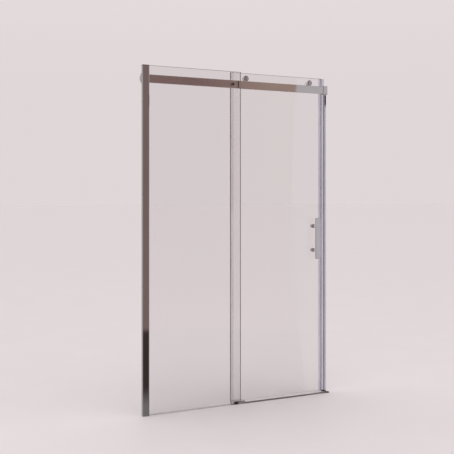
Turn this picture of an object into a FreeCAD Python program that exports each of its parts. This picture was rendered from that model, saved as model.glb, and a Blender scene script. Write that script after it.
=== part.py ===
import FreeCAD, Part
import os
import re
import Sketcher

# Sliding shower door that closes the opening between two walls.
# A fixed glass panel stands in a wall profile on the left. A rail runs behind it from wall to wall,
# and the sliding panel hangs behind the rail on two grooved rollers.
# Frame, in millimetres: X runs from the left wall to the right wall, Y from the room into the shower
# with zero on the front of the fixed glass, and Z runs up from the floor.

SIZES = {
    # the whole door
    "opening_width": 1200, "frame_height": 1900, "glass_thickness": 8, "glass_arris": 0.8,
    "cut_overrun": 2, "glass_hole_radius": 6, "sleeve_fit": 0.2, "screw_fit": 0.2,
    # wall profile with its gaskets and cap
    "profile_reach": 38, "profile_web": 3, "profile_front_lip": 5, "profile_back_lip": 2,
    "profile_corner": 4, "glazing_thickness": 4, "glazing_inset": 1, "glass_wall_gap": 14,
    "profile_cap_thickness": 3, "profile_cap_fit": 0.3, "setting_block_length": 20,
    "wall_hole_radius": 3, "wall_hole_outer_span": 1500, "wall_hole_inner_span": 500,
    # fixed panel
    "fixed_reach": 600, "fixed_floor_gap": 6, "floor_seal_foot": 3, "floor_seal_foot_height": 1.5,
    # rail and its wall sockets
    "rail_drop": 48, "rail_height": 45, "rail_thickness": 10, "rail_wall": 2, "rail_corner": 0.8,
    "rail_end_gap": 6, "socket_length": 28, "socket_wall": 3, "socket_side": 2.6, "socket_web": 4,
    "socket_fit": 0.2, "socket_clear": 0.2, "socket_corner": 1.8, "socket_hole_radius": 2.5,
    "socket_hole_span": 20, "grub_radius": 2.4, "grub_fit": 0.1, "grub_inset": 12,
    # screw that ties the fixed glass to the rail
    "rail_screw_inset": 47, "rail_screw_radius": 3, "rail_screw_head": 5.5,
    "rail_screw_head_height": 3.5, "rail_screw_key": 2.2, "rail_screw_key_depth": 2,
    "rail_washer": 1, "rail_spacer_radius": 8, "rail_nut_length": 16, "rail_nut_height": 14,
    "rail_nut_thickness": 5.5,
    # strike profile on the right wall
    "strike_depth": 10, "strike_width": 16, "strike_wall": 1.6, "strike_head_gap": 0.5,
    "strike_seal_depth": 6, "strike_hole_radius": 2.2, "strike_hole_span": 1400,
    # sliding panel and its seals
    "panel_overlap": 50, "door_floor_gap": 11, "seal_leg_length": 20, "seal_leg": 1.2,
    "seal_web": 1.5, "seal_fin_reach": 3.3, "seal_guide_clear": 1,
    "closing_clearance": 0.4, "closing_bulb_reach": 19.1, "closing_bulb_width": 10,
    "closing_bulb_wall": 1.5, "closing_bulb_nose": 4, "bottom_flange": 1.5, "bottom_fin": 2.4,
    "bottom_fin_gap": 2.5,
    # rollers
    "left_roller_inset": 92, "right_roller_inset": 96, "tread_radius": 15,
    "roller_flange_radius": 17.5, "roller_flange": 2.2,
    "groove_clearance": 0.4, "groove_taper": 0.5, "tread_clearance": 0.3, "roller_side_gap": 0.4,
    "roller_lip_radius": 9, "roller_cover_radius": 16.5, "roller_cover": 1.2,
    "roller_cover_spigot": 8, "bearing_radius": 11, "bearing_bore": 4, "bearing_width": 7,
    "bearing_ring": 1.8, "bearing_fit": 0.05, "ball_radius": 1.6,
    "axle_head_radius": 6.5, "axle_head": 2.5, "axle_shoulder_radius": 5.8,
    "axle_flange_radius": 10, "axle_flange": 2, "axle_stem_radius": 4, "axle_stem_depth": 5,
    "bush_radius": 6.5, "bush_fit": 0.3, "bush_eccentricity": 1, "roller_gasket": 1,
    "cap_nut_radius": 10, "cap_nut_thickness": 7, "cap_nut_round": 2,
    # handle
    "handle_inset": 50, "handle_height": 935, "handle_length": 244, "handle_width": 37,
    "handle_plate": 8, "handle_corner": 3, "handle_edge": 1.2, "post_span": 145, "post_radius": 7,
    "post_length": 35, "handle_gasket": 1, "handle_stud_radius": 3, "handle_stud_depth": 18,
    "knob_radius": 11.5, "knob_length": 25, "knob_round": 3,
    # floor guide
    "guide_grip": 45, "guide_lead": 27, "guide_height": 16, "guide_base": 4, "guide_slot_floor": 1.5,
    "guide_front_wall": 3, "guide_back_wall": 5, "guide_gasket": 1, "guide_liner": 1.5,
    "guide_clearance": 0.5, "guide_end_gap": 0.5, "guide_round": 1.5, "guide_hole_radius": 2.6,
    "guide_hole_span": 36, "guide_grub_inset": 20,
    # threshold bar
    "threshold_overhang": 4, "threshold_width": 16, "threshold_height": 6, "threshold_round": 3,
    "threshold_cap_length": 20, "threshold_cap_rise": 1,
    # buffer that stops the panel when it is open
    "buffer_arm_length": 44.2, "buffer_arm_height": 24, "buffer_arm_back": 6,
    "buffer_tip_radius": 6, "buffer_tip": 16, "buffer_plug_radius": 3, "buffer_plug": 6,
    "buffer_fit": 0.2,
}

BALL_COUNT = 7

PLACES = {
    "fixed_mid_y": "glass_thickness / 2",
    "profile_front_y": "-glazing_thickness - profile_front_lip",
    "profile_back_y": "glass_thickness + glazing_thickness + profile_back_lip",
    "profile_top_z": "frame_height - profile_cap_thickness",
    "socket_front_y": "profile_back_y + socket_clear",
    "rail_front_y": "socket_front_y + socket_side + socket_fit",
    "rail_back_y": "rail_front_y + rail_thickness",
    "rail_mid_y": "(rail_front_y + rail_back_y) / 2",
    "socket_back_y": "rail_back_y + socket_fit + socket_side",
    "rail_top_z": "frame_height - rail_drop",
    "rail_bottom_z": "rail_top_z - rail_height",
    "rail_mid_z": "(rail_top_z + rail_bottom_z) / 2",
    "socket_bottom_z": "rail_bottom_z - socket_fit - socket_wall",
    "socket_top_z": "rail_top_z + socket_fit + socket_wall",
    "rail_left_x": "socket_web + rail_end_gap",
    "rail_right_x": "opening_width - rail_left_x",
    "rail_screw_x": "fixed_reach - rail_screw_inset",
    "groove_front_y": "rail_front_y - groove_clearance",
    "groove_back_y": "rail_back_y + groove_clearance",
    "roller_front_y": "groove_front_y - roller_flange",
    "roller_back_y": "groove_back_y + roller_flange",
    "cover_front_y": "roller_front_y - roller_cover",
    "bearing_front_y": "rail_mid_y - bearing_width / 2",
    "bearing_back_y": "rail_mid_y + bearing_width / 2",
    "axle_flange_y": "roller_back_y + roller_side_gap",
    "door_front_y": "axle_flange_y + axle_flange + roller_gasket",
    "door_back_y": "door_front_y + glass_thickness",
    "door_mid_y": "(door_front_y + door_back_y) / 2",
    "stem_end_y": "door_back_y + roller_gasket + axle_stem_depth",
    "roller_z": "rail_top_z + tread_radius + tread_clearance",
    "bush_z": "roller_z - bush_eccentricity",
    "strike_x": "opening_width - strike_depth",
    "strike_front_y": "door_mid_y - strike_width / 2",
    "strike_back_y": "door_mid_y + strike_width / 2",
    "strike_top_z": "socket_bottom_z - strike_head_gap",
    "door_left_x": "fixed_reach - panel_overlap",
    "bulb_x": "strike_x - closing_clearance - closing_bulb_reach",
    "door_right_x": "bulb_x - seal_web",
    "left_roller_x": "door_left_x + left_roller_inset",
    "right_roller_x": "door_right_x - right_roller_inset",
    "handle_x": "door_right_x - handle_inset",
    "post_low_z": "handle_height - post_span / 2",
    "post_high_z": "handle_height + post_span / 2",
    "post_end_y": "door_front_y - handle_gasket",
    "plate_back_y": "post_end_y - post_length",
    "plate_front_y": "plate_back_y - handle_plate",
    "knob_y": "door_back_y + handle_gasket",
    "guide_left_x": "fixed_reach - guide_grip",
    "guide_right_x": "fixed_reach + guide_lead",
    "guide_mid_x": "(guide_left_x + guide_right_x) / 2",
    "guide_front_y": "-guide_gasket - guide_front_wall",
    "slot_front_y": "door_front_y - guide_clearance - guide_liner",
    "slot_back_y": "door_back_y + guide_clearance + guide_liner",
    "guide_back_y": "slot_back_y + guide_back_wall",
    "guide_hole_y": "(glass_thickness + guide_gasket + slot_front_y) / 2",
    "threshold_right_x": "opening_width - threshold_cap_length",
    "threshold_back_y": "threshold_width - threshold_overhang",
}

doc = FreeCAD.newDocument("SlidingShowerDoor")
sizes = doc.addObject("Spreadsheet::Sheet", "Sizes")
places = doc.addObject("Spreadsheet::Sheet", "Places")
SHEET_OF = {name: "Sizes." for name in SIZES}
SHEET_OF.update({name: "Places." for name in PLACES})
nodes = []


def full(text):
    """Expression with each size and place named by its sheet."""
    return re.sub(r"[a-z][a-z0-9_]*", lambda word: SHEET_OF.get(word.group(), "") + word.group(), text)


def value(text):
    """Number that an expression stands for now."""
    return float(sizes.evalExpression(full(text)))


def bind(item, **links):
    """Tie properties to expressions."""
    for name, text in links.items():
        item.setExpression(name, full(text))


def put(item, x="0", y="0", z="0"):
    """Tie an object's place to expressions."""
    for axis, text in zip("xyz", (x, y, z)):
        item.setExpression("Placement.Base." + axis, full(text))


def block(name, x, y, z):
    """Box between two places on each axis."""
    item = doc.addObject("Part::Box", name)
    length, width, height = (f"{high} - ({low})" for low, high in (x, y, z))
    bind(item, Length=length, Width=width, Height=height)
    put(item, x[0], y[0], z[0])
    return item


TURNS = {
    "x": FreeCAD.Rotation(FreeCAD.Vector(0, 1, 0), 90),
    "y": FreeCAD.Rotation(FreeCAD.Vector(1, 0, 0), -90),
    "z": FreeCAD.Rotation(),
}


def rod(name, axis, radius, start, length):
    """Round bar along one axis from a starting place."""
    item = doc.addObject("Part::Cylinder", name)
    item.Placement = FreeCAD.Placement(FreeCAD.Vector(), TURNS[axis])
    bind(item, Radius=radius, Height=length)
    put(item, *start)
    return item


def group(name, *items):
    """Separate solids that share one name."""
    item = doc.addObject("Part::Compound", name)
    item.Links = list(items)
    return item


def cut(name, base, *tools):
    """Solid with the tools taken out of it."""
    item = doc.addObject("Part::Cut", name)
    item.Base = base
    item.Tool = tools[0] if len(tools) == 1 else group(name + "_tools", *tools)
    return item


def tube(name, axis, outer, inner, start, length):
    """Round bar with a bore along it."""
    far = [f"{text} - cut_overrun" if letter == axis else text for letter, text in zip("xyz", start)]
    bore = rod(name + "_bore", axis, inner, far, f"{length} + 2 * cut_overrun")
    return cut(name, rod(name + "_bar", axis, outer, start, length), bore)


def origin_of(body, role):
    """Plane or axis of a body's own origin."""
    return next(item for item in body.Origin.OriginFeatures if item.Role == role)


def drawn(body, plane, outline, holes=()):
    """Closed outline of straight lines, and round holes, each point tied to expressions."""
    sketch = body.newObject("Sketcher::SketchObject", body.Name + "_sketch")
    sketch.AttachmentSupport = (origin_of(body, plane), "")
    sketch.MapMode = "FlatFace"
    points = [FreeCAD.Vector(value(u), value(v), 0) for u, v in outline]
    count = len(points)
    for index, point in enumerate(points):
        sketch.addGeometry(Part.LineSegment(point, points[(index + 1) % count]), False)
    for index in range(count):
        sketch.addConstraint(Sketcher.Constraint("Coincident", index, 2, (index + 1) % count, 1))
    for index, place in enumerate(outline):
        tie(sketch, index, 1, place)
    for u, v, radius in holes:
        centre = FreeCAD.Vector(value(u), value(v), 0)
        ring = sketch.addGeometry(Part.Circle(centre, FreeCAD.Vector(0, 0, 1), value(radius)), False)
        tie(sketch, ring, 3, (u, v))
        row = sketch.addConstraint(Sketcher.Constraint("Radius", ring, value(radius)))
        sketch.setExpression(f"Constraints[{row}]", full(radius))
    return sketch


def tie(sketch, shape, end, place):
    """Hold one point of a sketch at a place."""
    for kind, text in zip(("DistanceX", "DistanceY"), place):
        row = sketch.addConstraint(Sketcher.Constraint(kind, -1, 1, shape, end, value(text)))
        sketch.setExpression(f"Constraints[{row}]", full(text))


def extruded(name, plane, outline, start, length, holes=()):
    """Body with one outline padded square to its plane."""
    body = doc.addObject("PartDesign::Body", name)
    sketch = drawn(body, plane, outline, holes)
    pad = body.newObject("PartDesign::Pad", name + "_pad")
    pad.Profile = sketch
    bind(pad, Length=length)
    put(body, *start)
    doc.recompute()
    return body


def oblong(u, v):
    """Outline of a rectangle between two places each way."""
    return [(u[0], v[0]), (u[1], v[0]), (u[1], v[1]), (u[0], v[1])]


def turned(name, outline, x, z):
    """Body turned about a line along Y, its outline given as radius and place along Y."""
    body = doc.addObject("PartDesign::Body", name)
    sketch = drawn(body, "XY_Plane", outline)
    turn = body.newObject("PartDesign::Revolution", name + "_turn")
    turn.Profile = sketch
    turn.ReferenceAxis = (origin_of(body, "Y_Axis"), [""])
    turn.Angle = 360
    put(body, x=x, z=z)
    doc.recompute()
    return body


def eased(body, kind, size, pick):
    """Fillet or chamfer on the edges of a body that the test picks."""
    last = body.Tip
    names = [f"Edge{row}" for row, edge in enumerate(last.Shape.Edges, start=1) if pick(edge)]
    feature = body.newObject("PartDesign::" + kind, f"{body.Name}_{kind.lower()}")
    feature.Base = (last, names)
    bind(feature, **{"Radius" if kind == "Fillet" else "Size": size})
    doc.recompute()
    return body


def along(axis):
    """Test for a straight edge along one axis."""
    def test(edge):
        if edge.Curve.TypeId != "Part::GeomLine":
            return False
        return abs(getattr(edge.Curve.Direction, axis)) > 0.99
    return test


def keep(*items):
    """Name the finished pieces of the door."""
    nodes.extend(items)


def fill_sheets():
    """Write the sizes as numbers and the places as formulas."""
    for row, (name, number) in enumerate(SIZES.items(), start=1):
        sizes.set(f"A{row}", name)
        sizes.set(f"B{row}", str(number))
        sizes.setAlias(f"B{row}", name)
    doc.recompute()
    for row, (name, text) in enumerate(PLACES.items(), start=1):
        places.set(f"A{row}", name)
        places.setAlias(f"B{row}", name)
    for row, text in enumerate(PLACES.values(), start=1):
        places.set(f"B{row}", "=" + full(text).replace("Places.", ""))
    doc.recompute()


def wall_profile():
    """Chrome channel on the left wall with its gaskets, setting block and top cap."""
    front_inner, back_inner = "-glazing_thickness", "glass_thickness + glazing_thickness"
    outline = [
        ("0", "profile_front_y"), ("profile_reach", "profile_front_y"),
        ("profile_reach", front_inner), ("profile_web", front_inner),
        ("profile_web", back_inner), ("profile_reach", back_inner),
        ("profile_reach", "profile_back_y"), ("0", "profile_back_y"),
    ]
    channel = extruded("wall_profile_channel", "XY_Plane", outline, ("0", "0", "0"), "profile_top_z")
    front = value("profile_front_y")
    eased(channel, "Fillet", "profile_corner",
          lambda edge: along("z")(edge) and abs(edge.CenterOfMass.y - front) < 1e-6)
    holes = []
    for span in ("wall_hole_outer_span", "wall_hole_inner_span"):
        for side in ("-", "+"):
            place = ("-cut_overrun", "fixed_mid_y", f"frame_height / 2 {side} {span} / 2")
            hole = rod(f"wall_hole_{len(holes)}", "x", "wall_hole_radius", place,
                       "profile_web + 2 * cut_overrun")
            holes.append(hole)
    keep(cut("wall_profile", channel, *holes))
    gasket_x = ("glass_wall_gap", "profile_reach - glazing_inset")
    keep(block("front_glazing_gasket", gasket_x, (front_inner, "0"), ("0", "profile_top_z")))
    keep(block("rear_glazing_gasket", gasket_x, ("glass_thickness", back_inner), ("0", "profile_top_z")))
    keep(block("glass_setting_block", ("glass_wall_gap", "glass_wall_gap + setting_block_length"),
               ("0", "glass_thickness"), ("0", "fixed_floor_gap")))
    slot_front, slot_back = "-profile_cap_fit", "glass_thickness + profile_cap_fit"
    slot_end = "glass_wall_gap - profile_cap_fit"
    outline = [
        ("0", "profile_front_y"), ("profile_reach", "profile_front_y"),
        ("profile_reach", slot_front), (slot_end, slot_front),
        (slot_end, slot_back), ("profile_reach", slot_back),
        ("profile_reach", "profile_back_y"), ("0", "profile_back_y"),
    ]
    cap = extruded("wall_profile_cap", "XY_Plane", outline, ("0", "0", "profile_top_z"),
                   "profile_cap_thickness")
    keep(eased(cap, "Fillet", "profile_corner",
               lambda edge: along("z")(edge) and abs(edge.CenterOfMass.y - front) < 1e-6))


def pane(name, x, y_back, z, holes):
    """Sheet of glass with ground edges and round holes."""
    body = extruded(name, "XZ_Plane", oblong(x, z), ("0", y_back, "0"), "glass_thickness", holes)
    return eased(body, "Chamfer", "glass_arris", lambda edge: along("x")(edge) or along("z")(edge))


def fixed_panel():
    """Fixed glass, the strip under it and the screw that ties it to the rail."""
    keep(pane("fixed_glass", ("glass_wall_gap", "fixed_reach"), "glass_thickness",
              ("fixed_floor_gap", "frame_height"), [("rail_screw_x", "rail_mid_z", "glass_hole_radius")]))
    foot_front, foot_back = "-floor_seal_foot", "glass_thickness + floor_seal_foot"
    outline = [
        (foot_front, "0"), (foot_back, "0"), (foot_back, "floor_seal_foot_height"),
        ("glass_thickness", "floor_seal_foot_height"), ("glass_thickness", "fixed_floor_gap"),
        ("0", "fixed_floor_gap"), ("0", "floor_seal_foot_height"), (foot_front, "floor_seal_foot_height"),
    ]
    keep(extruded("fixed_glass_floor_seal", "YZ_Plane", outline, ("profile_reach", "0", "0"),
                  "guide_left_x - profile_reach"))
    head_y = "-rail_washer - rail_screw_head_height"
    key_y = f"{head_y} + rail_screw_key_depth"
    tip_y = "rail_front_y + rail_wall + rail_nut_thickness"
    outline = [
        ("rail_screw_key", head_y), ("rail_screw_head", head_y), ("rail_screw_head", "-rail_washer"),
        ("rail_screw_radius", "-rail_washer"), ("rail_screw_radius", tip_y), ("0", tip_y),
        ("0", key_y), ("rail_screw_key", key_y),
    ]
    keep(turned("rail_glass_screw", outline, "rail_screw_x", "rail_mid_z"))
    bore = "rail_screw_radius + screw_fit"
    keep(tube("rail_screw_washer", "y", "rail_screw_head", bore,
              ("rail_screw_x", "-rail_washer", "rail_mid_z"), "rail_washer"))
    keep(tube("rail_screw_sleeve", "y", "glass_hole_radius - sleeve_fit", bore,
              ("rail_screw_x", "0", "rail_mid_z"), "glass_thickness"))
    keep(tube("rail_glass_spacer", "y", "rail_spacer_radius", bore,
              ("rail_screw_x", "glass_thickness", "rail_mid_z"), "rail_front_y - glass_thickness"))
    nut_y = "rail_front_y + rail_wall"
    nut = block("rail_screw_nut_block",
                ("rail_screw_x - rail_nut_length / 2", "rail_screw_x + rail_nut_length / 2"),
                (nut_y, f"{nut_y} + rail_nut_thickness"),
                ("rail_mid_z - rail_nut_height / 2", "rail_mid_z + rail_nut_height / 2"))
    thread = rod("rail_nut_thread", "y", bore, ("rail_screw_x", f"{nut_y} - cut_overrun", "rail_mid_z"),
                 "rail_nut_thickness + 2 * cut_overrun")
    keep(cut("rail_screw_nut", nut, thread))


def socket(name, wall_x, mouth_x, web_x, grub_x):
    """Wall socket that takes one end of the rail, with two holes for wall screws."""
    low, high = sorted((wall_x, mouth_x), key=value)
    outline = oblong(("socket_front_y", "socket_back_y"), ("socket_bottom_z", "socket_top_z"))
    body = extruded(name + "_body", "YZ_Plane", outline, (low, "0", "0"), "socket_length")
    eased(body, "Fillet", "socket_corner", along("x"))
    if low == wall_x:
        pocket_x = (web_x, f"{mouth_x} + cut_overrun")
    else:
        pocket_x = (f"{mouth_x} - cut_overrun", web_x)
    pocket = block(name + "_pocket", pocket_x,
                   ("rail_front_y - socket_fit", "rail_back_y + socket_fit"),
                   ("rail_bottom_z - socket_fit", "rail_top_z + socket_fit"))
    hole_x = f"{min((wall_x, web_x), key=value)} - cut_overrun"
    tools = [pocket]
    for side in ("-", "+"):
        place = (hole_x, "rail_mid_y", f"rail_mid_z {side} socket_hole_span / 2")
        tools.append(rod(f"{name}_hole_{len(tools)}", "x", "socket_hole_radius", place,
                         "socket_web + 2 * cut_overrun"))
    tools.append(rod(name + "_thread", "z", "grub_radius + grub_fit",
                     (grub_x, "rail_mid_y", "socket_bottom_z - cut_overrun"),
                     "socket_wall + 2 * cut_overrun"))
    keep(cut(name, body, *tools))
    return rod(name + "_grub", "z", "grub_radius", (grub_x, "rail_mid_y", "socket_bottom_z"),
               "socket_wall + socket_fit")


def rail():
    """Rail tube from wall to wall with the socket at each end."""
    outline = oblong(("rail_front_y", "rail_back_y"), ("rail_bottom_z", "rail_top_z"))
    body = extruded("rail_body", "YZ_Plane", outline, ("rail_left_x", "0", "0"),
                    "rail_right_x - rail_left_x")
    eased(body, "Fillet", "rail_corner", along("x"))
    inside = block("rail_inside", ("rail_left_x - cut_overrun", "rail_right_x + cut_overrun"),
                   ("rail_front_y + rail_wall", "rail_back_y - rail_wall"),
                   ("rail_bottom_z + rail_wall", "rail_top_z - rail_wall"))
    hole = rod("rail_screw_hole", "y", "rail_screw_radius + screw_fit",
               ("rail_screw_x", "rail_front_y - cut_overrun", "rail_mid_z"),
               "rail_wall + 2 * cut_overrun")
    keep(cut("guide_rail", body, inside, hole))
    left = socket("rail_socket_left", "0", "socket_length", "socket_web", "socket_length - grub_inset")
    right = socket("rail_socket_right", "opening_width", "opening_width - socket_length",
                   "opening_width - socket_web", "opening_width - socket_length + grub_inset")
    keep(group("rail_socket_grub_screws", left, right))


def strike():
    """Channel on the right wall with the soft strip that the panel closes on."""
    front, back = "strike_front_y + strike_wall", "strike_back_y - strike_wall"
    web = "opening_width - strike_wall"
    outline = [
        ("strike_x", "strike_front_y"), ("opening_width", "strike_front_y"),
        ("opening_width", "strike_back_y"), ("strike_x", "strike_back_y"),
        ("strike_x", back), (web, back), (web, front), ("strike_x", front),
    ]
    channel = extruded("strike_channel", "XY_Plane", outline, ("0", "0", "0"), "strike_top_z")
    holes = []
    for side in ("-", "+"):
        place = (f"{web} - cut_overrun", "door_mid_y", f"strike_top_z / 2 {side} strike_hole_span / 2")
        holes.append(rod(f"strike_hole_{len(holes)}", "x", "strike_hole_radius", place,
                         "strike_wall + 2 * cut_overrun"))
    keep(cut("strike_profile", channel, *holes))
    keep(block("strike_seal", ("strike_x", "strike_x + strike_seal_depth"), (front, back),
               ("0", "strike_top_z")))


def sliding_panel():
    """Sliding glass with the seals on its two sides and along its foot."""
    holes = [(x, "bush_z", "bush_radius + bush_fit") for x in ("left_roller_x", "right_roller_x")]
    holes += [("handle_x", z, "glass_hole_radius") for z in ("post_low_z", "post_high_z")]
    keep(pane("door_glass", ("door_left_x", "door_right_x"), "door_back_y",
              ("door_floor_gap", "frame_height"), holes))
    front, back = "door_front_y - seal_leg", "door_back_y + seal_leg"
    web_x, leg_x = "door_left_x - seal_web", "door_left_x + seal_leg_length"
    fin_y = f"{front} - seal_fin_reach"
    outline = [
        (web_x, back), (web_x, fin_y), ("door_left_x", fin_y), ("door_left_x", front), (leg_x, front),
        (leg_x, "door_front_y"), ("door_left_x", "door_front_y"), ("door_left_x", "door_back_y"),
        (leg_x, "door_back_y"), (leg_x, back),
    ]
    foot = "guide_height + seal_guide_clear"
    keep(extruded("door_overlap_seal", "XY_Plane", outline, ("0", "0", foot), f"frame_height - ({foot})"))
    leg_x, nose_x = "door_right_x - seal_leg_length", "bulb_x + closing_bulb_reach"
    bulb_front, bulb_back = "door_mid_y - closing_bulb_width / 2", "door_mid_y + closing_bulb_width / 2"
    cheek_x = f"{nose_x} - closing_bulb_nose"
    tip_front, tip_back = "door_mid_y - closing_bulb_nose / 2", "door_mid_y + closing_bulb_nose / 2"
    outline = [
        (leg_x, front), ("bulb_x", front), ("bulb_x", bulb_front), (cheek_x, bulb_front),
        (nose_x, tip_front), (nose_x, tip_back), (cheek_x, bulb_back), ("bulb_x", bulb_back),
        ("bulb_x", back), (leg_x, back), (leg_x, "door_back_y"), ("door_right_x", "door_back_y"),
        ("door_right_x", "door_front_y"), (leg_x, "door_front_y"),
    ]
    seal = extruded("closing_seal_body", "XY_Plane", outline, ("0", "0", "door_floor_gap"),
                    "frame_height - door_floor_gap")
    hollow = block("closing_seal_hollow", ("bulb_x + closing_bulb_wall", f"{cheek_x} - closing_bulb_wall"),
                   (f"{bulb_front} + closing_bulb_wall", f"{bulb_back} - closing_bulb_wall"),
                   ("door_floor_gap - cut_overrun", "frame_height + cut_overrun"))
    keep(cut("door_closing_seal", seal, hollow))
    fin_front, fin_back = "door_mid_y - bottom_fin / 2", "door_mid_y + bottom_fin / 2"
    flange_z = "door_floor_gap - bottom_flange"
    outline = [
        (fin_front, "bottom_fin_gap"), (fin_back, "bottom_fin_gap"), (fin_back, flange_z),
        ("door_back_y", flange_z), ("door_back_y", "door_floor_gap"),
        ("door_front_y", "door_floor_gap"), ("door_front_y", flange_z), (fin_front, flange_z),
    ]
    keep(extruded("door_bottom_seal", "YZ_Plane", outline, ("door_left_x", "0", "0"),
                  "door_right_x - door_left_x"))


def roller(side, x):
    """Grooved roller on a ball bearing, with the axle that carries the sliding glass."""
    seat = "bearing_radius + bearing_fit"
    outline = [
        (seat, "roller_front_y"), ("roller_flange_radius", "roller_front_y"),
        ("roller_flange_radius", "groove_front_y - groove_taper"), ("tread_radius", "groove_front_y"),
        ("tread_radius", "groove_back_y"), ("roller_flange_radius", "groove_back_y + groove_taper"),
        ("roller_flange_radius", "roller_back_y"), ("roller_lip_radius", "roller_back_y"),
        ("roller_lip_radius", "bearing_back_y"), (seat, "bearing_back_y"),
    ]
    keep(turned(f"roller_wheel_{side}", outline, x, "roller_z"))
    spigot = "bearing_radius - bearing_fit"
    outline = [
        ("0", "cover_front_y"), ("roller_cover_radius", "cover_front_y"),
        ("roller_cover_radius", "roller_front_y"), (spigot, "roller_front_y"),
        (spigot, "bearing_front_y"), ("roller_cover_spigot", "bearing_front_y"),
        ("roller_cover_spigot", "roller_front_y"), ("0", "roller_front_y"),
    ]
    keep(turned(f"roller_cover_{side}", outline, x, "roller_z"))
    start = (x, "bearing_front_y", "roller_z")
    keep(tube(f"bearing_outer_{side}", "y", "bearing_radius", "bearing_radius - bearing_ring", start,
              "bearing_width"))
    keep(tube(f"bearing_inner_{side}", "y", "bearing_bore + bearing_ring", "bearing_bore", start,
              "bearing_width"))
    pitch = "(bearing_radius + bearing_bore) / 2"
    balls = []
    for row in range(BALL_COUNT):
        ball = doc.addObject("Part::Sphere", f"ball_{side}_{row}")
        bind(ball, Radius="ball_radius")
        turn = f"{360 * row / BALL_COUNT} deg"
        put(ball, f"{x} + {pitch} * cos({turn})", "rail_mid_y", f"roller_z + {pitch} * sin({turn})")
        balls.append(ball)
    keep(group(f"bearing_balls_{side}", *balls))
    journal = "bearing_bore - bearing_fit"
    head_y = "bearing_front_y - axle_head"
    outline = [
        ("0", head_y), ("axle_head_radius", head_y), ("axle_head_radius", "bearing_front_y"),
        (journal, "bearing_front_y"), (journal, "bearing_back_y"),
        ("axle_shoulder_radius", "bearing_back_y"), ("axle_shoulder_radius", "axle_flange_y"),
        ("axle_flange_radius", "axle_flange_y"), ("axle_flange_radius", "axle_flange_y + axle_flange"),
        ("axle_stem_radius", "axle_flange_y + axle_flange"), ("axle_stem_radius", "stem_end_y"),
        ("0", "stem_end_y"),
    ]
    keep(turned(f"roller_axle_{side}", outline, x, "roller_z"))
    bore = "axle_stem_radius + screw_fit"
    bar = rod(f"roller_bush_bar_{side}", "y", "bush_radius", (x, "door_front_y", "bush_z"),
              "glass_thickness")
    hole = rod(f"roller_bush_bore_{side}", "y", bore, (x, "door_front_y - cut_overrun", "roller_z"),
               "glass_thickness + 2 * cut_overrun")
    keep(cut(f"roller_bush_{side}", bar, hole))
    rings = []
    for end, y in (("front", "door_front_y - roller_gasket"), ("back", "door_back_y")):
        rings.append(tube(f"roller_gasket_{end}_{side}", "y", "axle_flange_radius", bore,
                          (x, y, "roller_z"), "roller_gasket"))
    keep(group(f"roller_gaskets_{side}", *rings))
    cap_y, bore_y = "door_back_y + roller_gasket", "stem_end_y + screw_fit"
    cap_end = f"{cap_y} + cap_nut_thickness"
    outline = [
        (bore, cap_y), ("cap_nut_radius", cap_y), ("cap_nut_radius", cap_end), ("0", cap_end),
        ("0", bore_y), (bore, bore_y),
    ]
    cap = turned(f"roller_cap_nut_{side}", outline, x, "roller_z")
    far = value(cap_end)
    keep(eased(cap, "Fillet", "cap_nut_round", lambda edge: abs(edge.CenterOfMass.y - far) < 1e-6))


def handle():
    """Flat pull handle on two posts outside, with a round knob behind each post."""
    plate_x = ("handle_x - handle_width / 2", "handle_x + handle_width / 2")
    plate_z = ("handle_height - handle_length / 2", "handle_height + handle_length / 2")
    plate = extruded("handle_plate", "XZ_Plane", oblong(plate_x, plate_z), ("0", "plate_back_y", "0"),
                     "handle_plate")
    eased(plate, "Fillet", "handle_corner", along("y"))
    face = min(vertex.Y for vertex in plate.Tip.Shape.Vertexes)
    keep(eased(plate, "Fillet", "handle_edge", lambda edge: abs(edge.CenterOfMass.y - face) < 1e-6))
    posts, studs, sleeves, washers, knobs = [], [], [], [], []
    thread = "handle_stud_radius + screw_fit"
    for end, z in (("low", "post_low_z"), ("high", "post_high_z")):
        deep = "post_end_y - handle_stud_depth"
        outline = [
            ("0", "plate_back_y"), ("post_radius", "plate_back_y"), ("post_radius", "post_end_y"),
            (thread, "post_end_y"), (thread, deep), ("0", deep),
        ]
        posts.append(turned("handle_post_" + end, outline, "handle_x", z))
        stud_y, stud_end = f"{deep} + screw_fit", "knob_y + handle_stud_depth - screw_fit"
        studs.append(rod("handle_stud_" + end, "y", "handle_stud_radius", ("handle_x", stud_y, z),
                         f"{stud_end} - ({stud_y})"))
        sleeves.append(tube("handle_sleeve_" + end, "y", "glass_hole_radius - sleeve_fit", thread,
                            ("handle_x", "door_front_y", z), "glass_thickness"))
        washers.append(tube("post_washer_" + end, "y", "post_radius", thread,
                            ("handle_x", "post_end_y", z), "handle_gasket"))
        washers.append(tube("knob_washer_" + end, "y", "knob_radius", thread,
                            ("handle_x", "door_back_y", z), "handle_gasket"))
        knob_end, bore_y = "knob_y + knob_length", "knob_y + handle_stud_depth"
        outline = [
            (thread, "knob_y"), ("knob_radius", "knob_y"), ("knob_radius", knob_end), ("0", knob_end),
            ("0", bore_y), (thread, bore_y),
        ]
        knob = turned("handle_knob_" + end, outline, "handle_x", z)
        far = value(knob_end)
        knobs.append(eased(knob, "Fillet", "knob_round",
                           lambda edge: abs(edge.CenterOfMass.y - far) < 1e-6))
    keep(group("handle_posts", *posts), group("handle_studs", *studs))
    keep(group("handle_sleeves", *sleeves), group("handle_gaskets", *washers))
    keep(group("handle_knobs", *knobs))


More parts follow.
